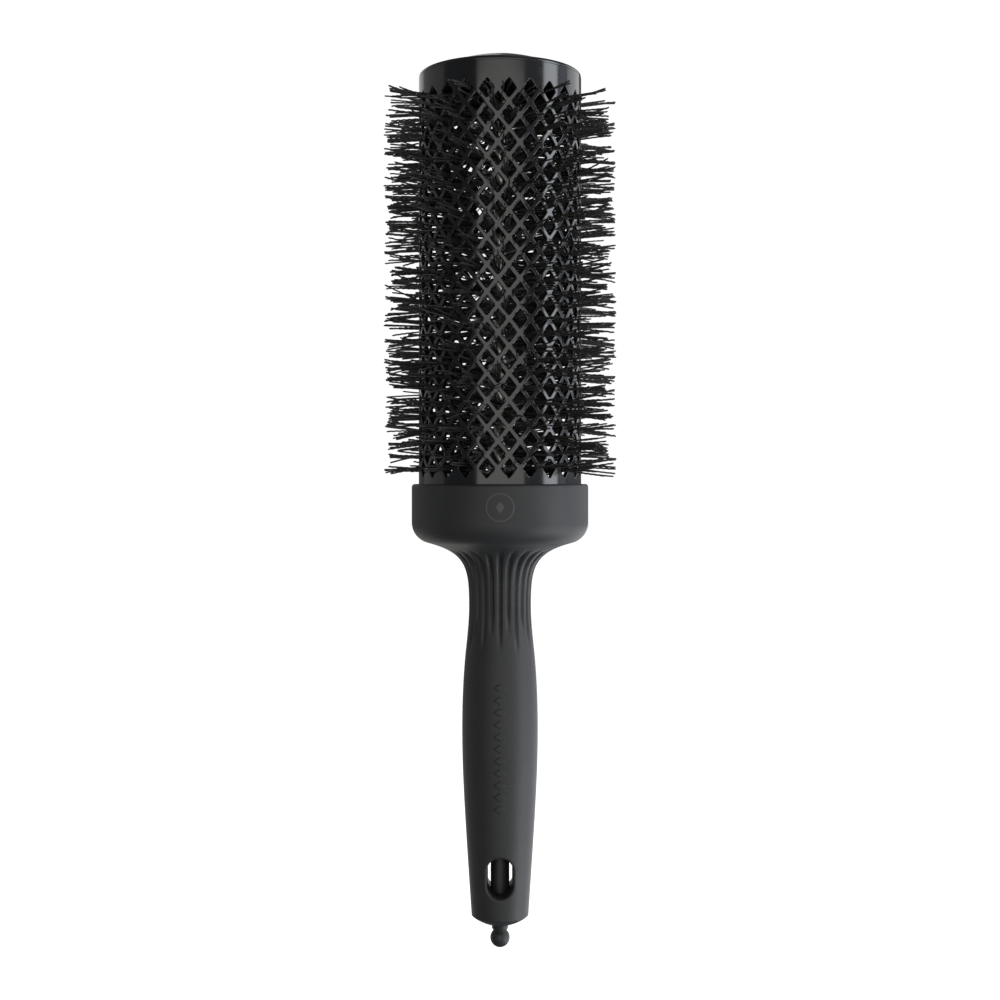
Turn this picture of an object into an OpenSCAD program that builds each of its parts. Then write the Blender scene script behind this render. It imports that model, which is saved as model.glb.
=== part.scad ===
// Round barrel brush: a vented metal barrel over a twisted-wire bristle core, on a soft-touch
// handle that stores a pull-out sectioning pin. Millimetres. The brush stands on its pin's ball
// end at the origin, with its axis along +Z and its barrel end up.

/* [Barrel] */
// Outside diameter of the barrel
barrel_d = 45; // [44:0.5:46]
// Wall thickness of the barrel
barrel_wall = 0.8; // [0.6:0.1:1]
// Length of the barrel tube
barrel_len = 121; // [120.5:0.5:125]
// Vent holes in one ring
vents_round = 24; // [20:2:24]
// Rings of vent holes, every second one turned by half a hole
vent_rings = 29; // [15:2:29]
// Height from one ring to the next
ring_step = 3.586; // [3.55:0.01:3.6]
// Width of a vent hole
vent_w = 4; // [3.4:0.1:4]
// Height of a vent hole
vent_h = 5.1; // [4.4:0.1:5.1]
// Turn of the first column of holes from the front
vent_turn = 6; // [0:1:14]

/* [Bristles] */
// Diameter over the bristle tips
bristle_d = 64.6; // [56:0.2:66]
// Thickness of a tuft at its tip
tuft_tip_d = 1.5; // [0.8:0.1:1.8]
// Thickness of each of the two core wires
wire_d = 1.6; // [1.4:0.1:1.8]
// Height of one full turn of the wire twist
wire_lead = 12; // [10:1:14]

/* [Handle] */
// Outside diameter of the collar
collar_d = 48.9; // [48.6:0.1:50]
// Thinnest diameter of the ribbed neck
neck_d = 17.2; // [16.8:0.1:18]
// Widest diameter of the grip
grip_d = 21; // [20:0.5:22]
// Thickness of the soft skin over the hard core
skin = 1.6; // [1.4:0.1:1.8]
// Number of grooves round the neck
neck_grooves = 24; // [12:2:24]
// Width of the slot through the handle's end
slot_w = 7.2; // [6.4:0.2:8]
// Height of the slot through the handle's end
slot_h = 11.2; // [10:0.2:12]

/* [Sectioning pin] */
// Diameter of the pin's ball end
ball_d = 5.4; // [5:0.1:6]
// Diameter of the pin's thick shaft
shaft_d = 5.2; // [4.8:0.1:5.2]
// Height of the pin's tip when stored
pin_tip_z = 94; // [80:1:94]

/* [Hidden] */
ROWS = ceil(vent_rings / 2); // bristle nodes, each holding the tufts of two rings of holes
function row_name(i) = str("bristle_row_", i < 9 ? "0" : "", i + 1);

$fn = 96;
fit = 0.05; // radial gap of a close fit
eps = 0.01;

// Heights along the axis
handle_end_z = 5.9;
slot_z = 20.8;
neck_z = 94.5;
belly_z = 60;
flange_z = 117.4; // the hub stands on the core's flange here
barrel_z = flange_z + 2;
collar_top_z = barrel_z + 9;
barrel_top_z = barrel_z + barrel_len;
cap_rim_z = barrel_top_z + 1.25;
cap_top_z = cap_rim_z + 5.1;
first_ring_z = barrel_z + 13.2;

barrel_r = barrel_d / 2;
barrel_in_r = barrel_r - barrel_wall;
collar_r = collar_d / 2;
cup_r = barrel_r + 0.1; // inside of the collar round the barrel
wire_r = wire_d / 2;
stem_r = 2 * wire_r; // the two twisted wires fill this radius
stem_bottom_z = 100;
stem_top_z = barrel_top_z - 2.2;
pin_bore_r = shaft_d / 2 + fit;
pick_bore_r = 2;
pick_z = 39.5; // the pin's thin pick starts here

black_gloss = "#1c1c1e";
soft_black = "#333437";
bristle_black = "#161616";
steel = "silver";
hard_plastic = "#26272a";

// ---------- curves ----------

// Points of a cubic Bezier curve through p[0] and p[3]
function bezier(p, n) = [for (i = [0:n]) let (t = i / n, s = 1 - t)
    s * s * s * p[0] + 3 * s * s * t * p[1] + 3 * s * t * t * p[2] + t * t * t * p[3]];

// Points of an arc round c from angle a0 to a1
function arc(c, r, a0, a1, n) = [for (i = [0:n]) let (a = a0 + (a1 - a0) * i / n)
    c + r * [cos(a), sin(a)]];

// Outside of the handle from the flare under the collar down to its end, as [radius, height],
// set in by d all round
fillet_r = 5.8;
flare_slope = 15;
end_round = 0.4;
tail_r = 7.9; // the grip ends in a rounded edge and a shallow dome
dome_r = 12.4;
dome_angle = asin((tail_r - end_round) / (dome_r - end_round));
tail_z = handle_end_z + dome_r - (dome_r - end_round) * cos(dome_angle);
function handle_side(d) =
    let (
        c = [collar_r - fillet_r, flange_z + 0.4],
        top = c + (fillet_r - d) * [cos(-90 + flare_slope), sin(-90 + flare_slope)],
        down = -[cos(flare_slope), sin(flare_slope)],
        neck = [neck_d / 2 - d, neck_z],
        belly = [grip_d / 2 - d, belly_z],
        tail = [tail_r - d, tail_z + 0.6 * d])
    concat(
        bezier([top, top + 11 * down, neck + [0, 11 + 0.3 * d], neck], 14),
        after_first(bezier([neck, neck - [0, 8], belly + [0, 20], belly], 8)),
        after_first(bezier([belly, belly - [0, 14], tail + [1.3, 20], tail], 8)));

core_end_r = 5.6;
core_end_z = handle_end_z + 2 * skin;

// All but the first of a list of points
function after_first(p) = [for (i = [1:len(p) - 1]) p[i]];

collar_round = 0.8;
function grip_outside() = concat(
    arc([collar_r - collar_round, collar_top_z - collar_round], collar_round, 90, 0, 5),
    arc([collar_r - fillet_r, flange_z + 0.4], fillet_r, 0, -90 + flare_slope, 9),
    after_first(handle_side(0)),
    arc([tail_r - end_round, tail_z], end_round, -10, -90 + dome_angle, 3),
    after_first(arc([0, handle_end_z + dome_r], dome_r, -90 + dome_angle, -90, 6)));

function core_outside() = concat(
    [[cup_r, flange_z]],
    arc([collar_r - fillet_r, flange_z + 0.4], fillet_r - skin, -20, -90 + flare_slope, 6),
    after_first(handle_side(skin)),
    [[core_end_r, core_end_z], [0, core_end_z]]);

// Radius of the grip at height z, for marks that sit on it
grip_table = [for (i = [len(grip_outside()) - 1:-1:0]) [grip_outside()[i][1], grip_outside()[i][0]]];
function grip_r(z) = lookup(z, grip_table);

// ---------- barrel ----------

module rhombus(w, h) {
    polygon([[w / 2, 0], [0, h / 2], [-w / 2, 0], [0, -h / 2]]);
}

// Angle of hole c in ring k, from the front (-Y), counter-clockwise seen from above
function vent_angle(k, c) = -90 + vent_turn + (c + (k % 2) / 2) * 360 / vents_round;

module vent_cutters() {
    for (k = [0:vent_rings - 1], c = [0:vents_round - 1])
        rotate([0, 0, vent_angle(k, c)])
            translate([barrel_in_r - 2, 0, first_ring_z + ring_step * k])
                rotate([90, 0, 90])
                    linear_extrude(height = barrel_wall + 4)
                        rhombus(vent_w, vent_h);
}

rivet_count = 4;
rivet_r = 1;
rivet_z = barrel_z + 4;
module at_rivets() {
    for (i = [0:rivet_count - 1])
        rotate([0, 0, 45 + 360 / rivet_count * i])
            translate([0, 0, rivet_z])
                rotate([0, 90, 0])
                    children();
}

module barrel() {
    color(black_gloss)
    difference() {
        translate([0, 0, barrel_z]) cylinder(h = barrel_len, r = barrel_r);
        translate([0, 0, barrel_z - 1]) cylinder(h = barrel_len + 2, r = barrel_in_r);
        vent_cutters();
        at_rivets() cylinder(h = barrel_r + 1, r = rivet_r + fit, $fn = 24);
    }
}

// ---------- end cap: a rounded rim, a low dome, a plug and a socket for the core wires ----------

cap_round = 0.6;
cap_wall = 1.85;
plug_depth = 4.2;
plug_wall = 2;
boss_len = 6;
module end_cap() {
    plug_r = barrel_in_r - fit;
    plug_in_r = plug_r - plug_wall;
    dome_edge = [barrel_r - cap_round - 0.2, cap_rim_z];
    under_z = cap_top_z - cap_wall;
    dome = bezier([[0, cap_top_z], [9, cap_top_z], [15, cap_rim_z + 1.65], dome_edge], 16);
    under = bezier([[plug_in_r, barrel_top_z], [14, barrel_top_z + 1.2], [9, under_z], [0, under_z]], 12);
    color(hard_plastic)
    difference() {
        union() {
            rotate_extrude() polygon(concat(
                dome,
                arc([barrel_r - cap_round, cap_rim_z - cap_round], cap_round, 90, 0, 6),
                [[barrel_r, barrel_top_z], [plug_r, barrel_top_z], [plug_r, barrel_top_z - plug_depth]],
                [[plug_in_r, barrel_top_z - plug_depth]],
                under));
            translate([0, 0, barrel_top_z - boss_len])
                cylinder(h = boss_len + under_z + 0.3 - barrel_top_z, r = 4, $fn = 48);
        }
        translate([0, 0, stem_top_z - 10]) cylinder(h = 10.2, r = stem_r + 0.15, $fn = 48);
    }
}

// ---------- bristle core ----------

// A tube of n sides swept along the points p
module tube(p, r, n) {
    m = len(p);
    pts = [for (i = [0:m - 1], j = [0:n - 1])
        let (
            d = p[min(i + 1, m - 1)] - p[max(i - 1, 0)],
            t = d / norm(d),
            side = cross([0, 0, 1], t),
            u = side / norm(side),
            v = cross(t, u),
            a = 360 * j / n)
        p[i] + r * (cos(a) * u + sin(a) * v)];
    sides = [for (i = [0:m - 2], j = [0:n - 1])
        let (a = i * n + j, b = i * n + (j + 1) % n)
        each [[a, b + n, b], [a, a + n, b + n]]];
    ends = [[for (j = [0:n - 1]) j], [for (j = [n - 1:-1:0]) (m - 1) * n + j]];
    polyhedron(points = pts, faces = concat(sides, ends));
}

// One of the two core wires, twisted left-handed round the axis
wire_steps = 9; // rings in each turn
module core_wire(phase) {
    turns = (stem_top_z - stem_bottom_z) / wire_lead;
    last = round(turns * wire_steps);
    color(steel)
    tube([for (i = [0:last])
        let (z = stem_bottom_z + (stem_top_z - stem_bottom_z) * i / last, a = phase - 360 * z / wire_lead)
        [(wire_r + 0.03) * cos(a), (wire_r + 0.03) * sin(a), z]], wire_r, 6);
}

// The tufts that leave through ring k of holes, joined by a ring round the core wires
tuft_root_d = 0.4;
root_ring_r = 2.3;
module tuft_ring(k) {
    tuft_from = root_ring_r - 0.3;
    translate([0, 0, first_ring_z + ring_step * k]) {
        difference() {
            cylinder(h = 1, r = root_ring_r, center = true, $fn = 48);
            cylinder(h = 2, r = stem_r + 0.12, center = true, $fn = 48);
        }
        for (c = [0:vents_round - 1])
            rotate([0, 0, vent_angle(k, c)])
                rotate([0, 90, 0])
                    translate([0, 0, tuft_from])
                        cylinder(h = bristle_d / 2 - tuft_from, d1 = tuft_root_d, d2 = tuft_tip_d, $fn = 16);
    }
}

module bristle_row(i) {
    color(bristle_black)
    for (k = [2 * i:min(2 * i + 1, vent_rings - 1)]) tuft_ring(k);
}

// Crimped sleeve on the lower end of the core wires, pressed into the handle core
ferrule_r = 2.6;
ferrule_z = stem_bottom_z - 1;
module wire_ferrule() {
    color(steel)
    translate([0, 0, ferrule_z])
        difference() {
            union() {
                cylinder(h = flange_z - ferrule_z - 0.4, r = ferrule_r - 0.2, $fn = 48);
                for (i = [0:3])
                    translate([0, 0, 3 + 3.6 * i])
                        cylinder(h = 1.6, r1 = ferrule_r - 0.2, r2 = ferrule_r - fit, $fn = 48);
            }
            translate([0, 0, 0.4]) cylinder(h = 30, r = stem_r + 0.15, $fn = 48);
        }
}

// ---------- hub: joins the barrel to the handle ----------

hub_wall = 2;
hub_top_z = barrel_z + 8;
hub_ribs = 6;
module barrel_hub() {
    spigot_r = barrel_in_r - fit;
    color(hard_plastic)
    difference() {
        union() {
            translate([0, 0, flange_z]) cylinder(h = barrel_z - flange_z, r = barrel_r);
            difference() {
                translate([0, 0, barrel_z - eps]) cylinder(h = hub_top_z - barrel_z + eps, r = spigot_r);
                translate([0, 0, barrel_z + 0.6]) cylinder(h = 20, r = spigot_r - hub_wall);
            }
            translate([0, 0, barrel_z]) cylinder(h = hub_top_z - barrel_z, r = 4.5, $fn = 48);
            for (i = [0:hub_ribs - 1])
                rotate([0, 0, 360 / hub_ribs * i])
                    translate([3.5, -0.7, barrel_z])
                        cube([spigot_r - hub_wall - 3.4, 1.4, 4.6]);
        }
        translate([0, 0, flange_z - 1]) cylinder(h = 20, r = stem_r + 0.15, $fn = 48);
        at_rivets() cylinder(h = barrel_r + 1, r = rivet_r + fit, $fn = 24);
    }
}

module hub_rivets() {
    color(steel)
    at_rivets() translate([0, 0, barrel_r - 3.4]) cylinder(h = 3.4, r = rivet_r, $fn = 24);
}

// ---------- handle ----------

module slot_cutter(w, h) {
    translate([0, 0, slot_z])
        rotate([90, 0, 0]) {
            translate([0, 0, -20]) linear_extrude(height = 40) square([w, h - w], center = true);
            for (s = [-1, 1])
                translate([0, s * (h - w) / 2, -20]) cylinder(h = 40, d = w, $fn = 48);
        }
}

// The skin lines the slot, so the core's own slot is wider
slot_lining = 0.8;
module core_solid() {
    difference() {
        rotate_extrude() polygon(concat(core_outside(), [[0, flange_z]]));
        slot_cutter(slot_w + 2 * slot_lining, slot_h + 2 * slot_lining);
    }
}

// The hard core: flange under the hub, socket for the wires, bore for the pin
module handle_core() {
    color(hard_plastic)
    difference() {
        core_solid();
        translate([0, 0, ferrule_z]) cylinder(h = 30, r = ferrule_r, $fn = 48);
        cylinder(h = pick_z + 0.5, r = pin_bore_r, $fn = 48);
        cylinder(h = pin_tip_z + 2, r = pick_bore_r, $fn = 48);
    }
}

// One neck groove: a thin blade whose inner edge follows the handle's side at the groove's depth
groove_w = 0.6;
groove_deep = 0.35;
module groove_blade(bottom_z) {
    side = [for (p = handle_side(groove_deep)) if (p[1] > bottom_z && p[1] < flange_z - 5.6) p];
    low = side[len(side) - 1];
    translate([0, groove_w / 2, 0])
        rotate([90, 0, 0])
            linear_extrude(height = groove_w)
                polygon(concat(side, [[low[0] + 0.8, low[1] - 4], [30, low[1] - 4], [30, side[0][1]]]));
}

// A column of low raised lozenges on the front of the grip
lozenges = 11;
lozenge_step = 3.3;
lozenge_top_z = 73;
lozenge_w = 3.6;
lozenge_h = 2.4;
lozenge_proud = 0.2;
module lozenge_pads() {
    for (i = [0:lozenges - 1]) {
        z = lozenge_top_z - lozenge_step * i;
        intersection() {
            translate([0, 0, z - lozenge_h]) cylinder(h = 2 * lozenge_h, r = grip_r(z) + lozenge_proud);
            translate([0, -grip_r(z) + skin - 0.3, z])
                rotate([90, 0, 0])
                    linear_extrude(height = 3)
                        rhombus(lozenge_w, lozenge_h);
        }
    }
}

// Ring with a lozenge in it, as a flat outline on the front of the collar
mark_z = 122.3;
mark_d = 7.6;
mark_line = 0.35;
module mark_shape(r_in, r_out) {
    intersection() {
        translate([0, 0, mark_z - mark_d])
            difference() {
                cylinder(h = 2 * mark_d, r = r_out);
                translate([0, 0, -1]) cylinder(h = 2 * mark_d + 2, r = r_in);
            }
        translate([0, 0, mark_z])
            rotate([90, 0, 0]) {
                difference() {
                    cylinder(h = 40, d = mark_d, $fn = 64);
                    translate([0, 0, -1]) cylinder(h = 42, d = mark_d - 2 * mark_line, $fn = 64);
                }
                linear_extrude(height = 40) rhombus(2.4, 3.2);
            }
    }
}

// The soft skin: collar, flare, ribbed neck and grip in one moulding over the core
mark_deep = 0.25;
long_groove_z = 82.5;
short_groove_z = 86.5;
module soft_grip() {
    color(soft_black)
    difference() {
        union() {
            rotate_extrude() polygon(concat(
                [[0, flange_z], [cup_r, flange_z], [cup_r, collar_top_z]],
                grip_outside()));
            lozenge_pads();
        }
        core_solid();
        cylinder(h = core_end_z + 1, r = pin_bore_r, $fn = 48);
        translate([0, 0, slot_z - slot_h]) cylinder(h = 2 * slot_h, r = pin_bore_r, $fn = 48);
        slot_cutter(slot_w, slot_h);
        for (i = [0:neck_grooves - 1])
            rotate([0, 0, -90 + 360 / neck_grooves * i])
                groove_blade(i % 2 == 0 ? long_groove_z : short_groove_z);
        mark_shape(collar_r - mark_deep, collar_r + 1);
    }
}

module collar_mark() {
    color("#55565a")
    mark_shape(collar_r - mark_deep, collar_r + 0.05);
}

// ---------- sectioning pin ----------

module sectioning_pin() {
    pick_tip_r = 0.9;
    ball_r = ball_d / 2;
    neck_r = 1.8;
    neck_top_z = 4.7;
    shaft_z = handle_end_z - 0.3;
    color(soft_black)
    union() {
        translate([0, 0, ball_r]) sphere(r = ball_r, $fn = 48);
        translate([0, 0, ball_r]) cylinder(h = neck_top_z + eps - ball_r, r = neck_r, $fn = 48);
        translate([0, 0, neck_top_z])
            cylinder(h = shaft_z - neck_top_z, r1 = neck_r, r2 = shaft_d / 2, $fn = 48);
        translate([0, 0, shaft_z - eps]) cylinder(h = pick_z - 2 - shaft_z, r = shaft_d / 2, $fn = 48);
        translate([0, 0, pick_z - 2 - 2 * eps]) cylinder(h = 2, r1 = shaft_d / 2, r2 = 1.7, $fn = 48);
        translate([0, 0, pick_z - 3 * eps])
            cylinder(h = pin_tip_z - pick_tip_r - pick_z, r1 = 1.7, r2 = pick_tip_r, $fn = 48);
        translate([0, 0, pin_tip_z - pick_tip_r - 4 * eps]) sphere(r = pick_tip_r, $fn = 32);
    }
}

barrel();
end_cap();
barrel_hub();
hub_rivets();
core_wire(0);  // core_wire_a
core_wire(180);  // core_wire_b
wire_ferrule();
handle_core();
soft_grip();
collar_mark();
sectioning_pin();
for (i = [0:ROWS - 1])
    bristle_row(i);
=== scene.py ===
"""Looks of the round barrel brush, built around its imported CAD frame.

Lengths are millimetres until build() turns them into metres, except in the studio section, which
is in metres. The brush stands upright with its pin's ball end lowest, and the camera is in front
of it, on the -Y side.
"""

import math

import bpy
import numpy as np
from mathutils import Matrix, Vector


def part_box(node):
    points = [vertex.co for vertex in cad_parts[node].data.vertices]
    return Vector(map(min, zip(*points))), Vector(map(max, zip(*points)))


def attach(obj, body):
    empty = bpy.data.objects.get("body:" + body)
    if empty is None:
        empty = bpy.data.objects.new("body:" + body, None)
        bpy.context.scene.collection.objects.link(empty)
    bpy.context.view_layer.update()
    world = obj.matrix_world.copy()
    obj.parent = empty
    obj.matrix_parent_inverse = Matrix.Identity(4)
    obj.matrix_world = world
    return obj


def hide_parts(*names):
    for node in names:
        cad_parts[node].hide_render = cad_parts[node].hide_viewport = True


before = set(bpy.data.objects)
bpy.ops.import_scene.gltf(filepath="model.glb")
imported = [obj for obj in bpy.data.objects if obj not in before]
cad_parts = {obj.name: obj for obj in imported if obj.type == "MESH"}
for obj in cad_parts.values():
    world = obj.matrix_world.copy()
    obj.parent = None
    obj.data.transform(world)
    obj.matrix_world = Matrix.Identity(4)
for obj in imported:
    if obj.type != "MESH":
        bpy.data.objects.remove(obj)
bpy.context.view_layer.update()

MM = 0.001
BODY, PIN_BODY = "brush", "pin"


# ---------- sizes, from the frame and the CAD model's own driving dimensions ----------

def low(node, axis=2):
    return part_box(node)[0][axis] / MM


def high(node, axis=2):
    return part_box(node)[1][axis] / MM


BARREL_R = high("barrel", 0)
BARREL_WALL = 0.8
BARREL_IN_R = BARREL_R - BARREL_WALL
BARREL_Z = low("barrel")
BARREL_TOP = high("barrel")
CAP_TOP = high("end_cap")

COLUMNS = 24
RINGS = 29
RING_STEP = 3.586
FIRST_RING_Z = BARREL_Z + 13.2
VENT_TURN = math.radians(6)
VENT_A, VENT_B = 2.0, 2.58  # half width and half height of a vent, to its sharp corners
VENT_ROUND = 0.22

COLLAR_R = high("soft_grip", 0)
COLLAR_TOP = high("soft_grip")
FLANGE_Z = low("barrel_hub")
CUP_R = BARREL_R + 0.1
GRIP_END_Z = low("soft_grip")

SLOT_W, SLOT_H, SLOT_Z = 7.2, 11.2, 20.8
FRONT = -math.pi / 2  # azimuth of the front, where the mark is


# ---------- mesh helpers ----------

WELD_PER_MM = 2e4  # points that round to the same step of 1/20000 mm are joined


def weld(co, quads, normals=None):
    """Joins points that coincide, and turns quads that lost a corner into triangles."""
    _, first, where = np.unique(np.round(co * WELD_PER_MM).astype(np.int64), axis=0,
                                return_index=True, return_inverse=True)
    where = where.ravel()
    quads = where[quads]
    distinct = np.array([quads[:, i] != quads[:, (i + 1) % 4] for i in range(4)]).all(0)
    tris = []
    for q in quads[~distinct]:
        corners = list(dict.fromkeys(q.tolist()))
        if len(corners) == 3:
            tris.append(corners)
    faces = [quads[distinct]]
    if tris:
        faces.append(np.array(tris))
    return co[first], faces, None if normals is None else normals[first]


def grid_quads(rows, columns, closed):
    """Quads of a rows x columns grid of points, closed round its columns if asked."""
    last = columns if closed else columns - 1
    i, j = np.meshgrid(np.arange(rows - 1), np.arange(last), indexing="ij")
    k = (j + 1) % columns
    quads = np.stack([i * columns + j, i * columns + k,
                      (i + 1) * columns + k, (i + 1) * columns + j], -1)
    return quads.reshape(-1, 4)


def build(name, co, faces, material, body=BODY, normals=None, sharp=40):
    """Makes one piece from points in millimetres and lists of faces, and lets it ride on a body.
    Edges over sharp degrees stay sharp, and none do if sharp is 0."""
    mesh = bpy.data.meshes.new(name)
    faces = [np.asarray(f) for f in faces if len(f)]
    loops = np.concatenate([f.ravel() for f in faces])
    sizes = np.concatenate([np.full(len(f), f.shape[1]) for f in faces])
    starts = np.concatenate([[0], np.cumsum(sizes)[:-1]])
    mesh.vertices.add(len(co))
    mesh.vertices.foreach_set("co", (np.asarray(co, float) * MM).ravel())
    mesh.loops.add(len(loops))
    mesh.loops.foreach_set("vertex_index", loops.astype(np.int32))
    mesh.polygons.add(len(sizes))
    mesh.polygons.foreach_set("loop_start", starts.astype(np.int32))
    mesh.update(calc_edges=True)
    mesh.validate()
    mesh.polygons.foreach_set("use_smooth", np.ones(len(mesh.polygons), bool))
    if normals is not None:
        mesh.normals_split_custom_set_from_vertices(normals.tolist())
    elif sharp:
        mesh.set_sharp_from_angle(angle=math.radians(sharp))
    mesh.materials.append(material)
    piece = bpy.data.objects.new(name, mesh)
    bpy.context.scene.collection.objects.link(piece)
    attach(piece, body)
    return piece


def arc(cx, cz, r, a0, a1, n):
    """Points of an arc round (cx, cz), angles in degrees."""
    a = np.radians(np.linspace(a0, a1, n + 1))
    return np.stack([cx + r * np.cos(a), cz + r * np.sin(a)], -1)


def bezier(p0, p1, p2, p3, n):
    """n + 1 points of a cubic curve."""
    t = np.linspace(0, 1, n + 1)[:, None]
    s = 1 - t
    p0, p1, p2, p3 = (np.array(p, float) for p in (p0, p1, p2, p3))
    return s ** 3 * p0 + 3 * s * s * t * p1 + 3 * s * t * t * p2 + t ** 3 * p3


def smooth(x, a, b):
    """0 below a, 1 above b, and a soft step between them."""
    t = np.clip((x - a) / (b - a), 0, 1)
    return t * t * (3 - 2 * t)


def lathe(profile, steps):
    """Points and quads of a profile of (radius, height) turned round the axis."""
    profile = np.asarray(profile, float)
    a = np.arange(steps) * 2 * math.pi / steps
    co = np.stack([profile[:, :1] * np.cos(a), profile[:, :1] * np.sin(a),
                   np.repeat(profile[:, 1:], steps, 1)], -1)
    return co.reshape(-1, 3), grid_quads(len(profile), steps, True)


def closed_lathe(name, profile, steps, material, body=BODY, sharp=40):
    co, quads = lathe(profile, steps)
    co, faces, _ = weld(co, quads)
    return build(name, co, faces, material, body, sharp=sharp)


# ---------- materials ----------

NOISE_ROUGHNESS = 0.55
GLOSS_IOR = 1.65
NYLON_DARK, NYLON_LIGHT = (0.024, 0.0235, 0.022), (0.045, 0.044, 0.041)


def new_material(name):
    """A material with its nodes, links and shader, and a socket with the place in millimetres."""
    material = bpy.data.materials.new(name)
    material.use_nodes = True
    nodes, links = material.node_tree.nodes, material.node_tree.links
    shader = nodes["Principled BSDF"]
    coords = nodes.new("ShaderNodeTexCoord")
    scaled = nodes.new("ShaderNodeVectorMath")
    scaled.operation = "SCALE"
    scaled.inputs["Scale"].default_value = 1 / MM
    links.new(coords.outputs["Object"], scaled.inputs[0])
    return material, nodes, links, shader, scaled.outputs[0]


def noise(nodes, links, where, per_mm, detail):
    node = nodes.new("ShaderNodeTexNoise")
    node.inputs["Scale"].default_value = per_mm
    node.inputs["Detail"].default_value = detail
    node.inputs["Roughness"].default_value = NOISE_ROUGHNESS
    links.new(where, node.inputs["Vector"])
    return node.outputs["Fac"]


def spread(nodes, links, value, from_low, from_high, to_low, to_high):
    node = nodes.new("ShaderNodeMapRange")
    for socket, number in zip(("From Min", "From Max", "To Min", "To Max"),
                              (from_low, from_high, to_low, to_high)):
        node.inputs[socket].default_value = number
    links.new(value, node.inputs["Value"])
    return node.outputs["Result"]


def two_colours(nodes, links, factor, first, second):
    node = nodes.new("ShaderNodeMix")
    node.data_type = "RGBA"
    node.inputs["A"].default_value = (*first, 1)
    node.inputs["B"].default_value = (*second, 1)
    links.new(factor, node.inputs["Factor"])
    return node.outputs["Result"]


def bump(nodes, links, shader, height, depth_mm, strength, below=None):
    node = nodes.new("ShaderNodeBump")
    node.inputs["Distance"].default_value = depth_mm * MM
    node.inputs["Strength"].default_value = strength
    links.new(height, node.inputs["Height"])
    if below is not None:
        links.new(below, node.inputs["Normal"])
    links.new(node.outputs["Normal"], shader.inputs["Normal"])
    return node.outputs["Normal"]


def soft_touch(name, dark, light, roughness=0.55):
    """Matt rubbery paint with a fine even grain and faint clouding."""
    material, nodes, links, shader, mm = new_material(name)
    cloud = noise(nodes, links, mm, 0.12, 4)
    grain = noise(nodes, links, mm, 5.5, 2)
    tone = spread(nodes, links, cloud, 0.35, 0.65, 0, 1)
    links.new(two_colours(nodes, links, tone, dark, light), shader.inputs["Base Color"])
    links.new(spread(nodes, links, grain, 0.3, 0.7, roughness - 0.05, roughness + 0.05),
              shader.inputs["Roughness"])
    coarse = bump(nodes, links, shader, cloud, 0.02, 0.4)
    bump(nodes, links, shader, grain, 0.012, 0.5, coarse)
    shader.inputs["Specular IOR Level"].default_value = 0.5
    return material


def gloss_coat(name, colour, roughness, peel_mm=0.004):
    """Gloss coat with faint orange peel and a few duller patches."""
    material, nodes, links, shader, mm = new_material(name)
    patch = noise(nodes, links, mm, 0.09, 3)
    peel = noise(nodes, links, mm, 1.3, 2)
    deeper = tuple(c * 0.75 for c in colour)
    links.new(two_colours(nodes, links, patch, deeper, colour), shader.inputs["Base Color"])
    links.new(spread(nodes, links, patch, 0.3, 0.7, roughness - 0.03, roughness + 0.04),
              shader.inputs["Roughness"])
    bump(nodes, links, shader, peel, peel_mm, 0.6)
    shader.inputs["IOR"].default_value = GLOSS_IOR
    return material


def nylon(name):
    """Black crimped filament: a soft shine that changes a little along each bristle."""
    material, nodes, links, shader, mm = new_material(name)
    streak = noise(nodes, links, mm, 0.8, 2)
    links.new(two_colours(nodes, links, streak, NYLON_DARK, NYLON_LIGHT), shader.inputs["Base Color"])
    links.new(spread(nodes, links, streak, 0.3, 0.7, 0.28, 0.42), shader.inputs["Roughness"])
    shader.inputs["Specular IOR Level"].default_value = 0.85
    return material


def drawn_steel(name, colour=(0.92, 0.88, 0.82)):
    """Drawn wire: bright metal with a fine uneven grain."""
    material, nodes, links, shader, mm = new_material(name)
    scratch = noise(nodes, links, mm, 9.0, 3)
    dull = tuple(c * 0.7 for c in colour)
    links.new(two_colours(nodes, links, scratch, dull, colour), shader.inputs["Base Color"])
    links.new(spread(nodes, links, scratch, 0.3, 0.7, 0.28, 0.42), shader.inputs["Roughness"])
    shader.inputs["Metallic"].default_value = 1.0
    bump(nodes, links, shader, scratch, 0.006, 0.4)
    return material


def moulded(name, colour, roughness=0.4):
    """Plain moulded plastic with a fine texture."""
    material, nodes, links, shader, mm = new_material(name)
    texture = noise(nodes, links, mm, 3.2, 3)
    deeper = tuple(c * 0.8 for c in colour)
    links.new(two_colours(nodes, links, texture, deeper, colour), shader.inputs["Base Color"])
    links.new(spread(nodes, links, texture, 0.3, 0.7, roughness - 0.06, roughness + 0.06),
              shader.inputs["Roughness"])
    bump(nodes, links, shader, texture, 0.01, 0.5)
    return material


SKIN = soft_touch("soft_skin", (0.024, 0.0242, 0.025), (0.028, 0.0282, 0.029))
PIN_SKIN = soft_touch("pin_skin", (0.02, 0.02, 0.021), (0.024, 0.024, 0.025), 0.5)
COAT = gloss_coat("barrel_coat", (0.006, 0.006, 0.0065), 0.13)
CAP = gloss_coat("cap_plastic", (0.008, 0.008, 0.0085), 0.2, 0.006)
NYLON = nylon("bristle_nylon")
STEEL = drawn_steel("drawn_steel")
PLASTIC = moulded("core_plastic", (0.02, 0.02, 0.021))
BADGE = moulded("badge_print", (0.072, 0.071, 0.069), 0.45)


# ---------- barrel ----------

# Share of a cell's side at which its points stand. Symmetric, so that neighbours meet.
SIDE_STOPS = (0.0, 0.1, 0.37, 0.63, 0.9)
CELL_POINTS = 4 * len(SIDE_STOPS)
EDGE_ROUND = 0.36  # rounding of the vents' outer edges
LIP = 0.08  # bevel of the barrel's upper edge


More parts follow.
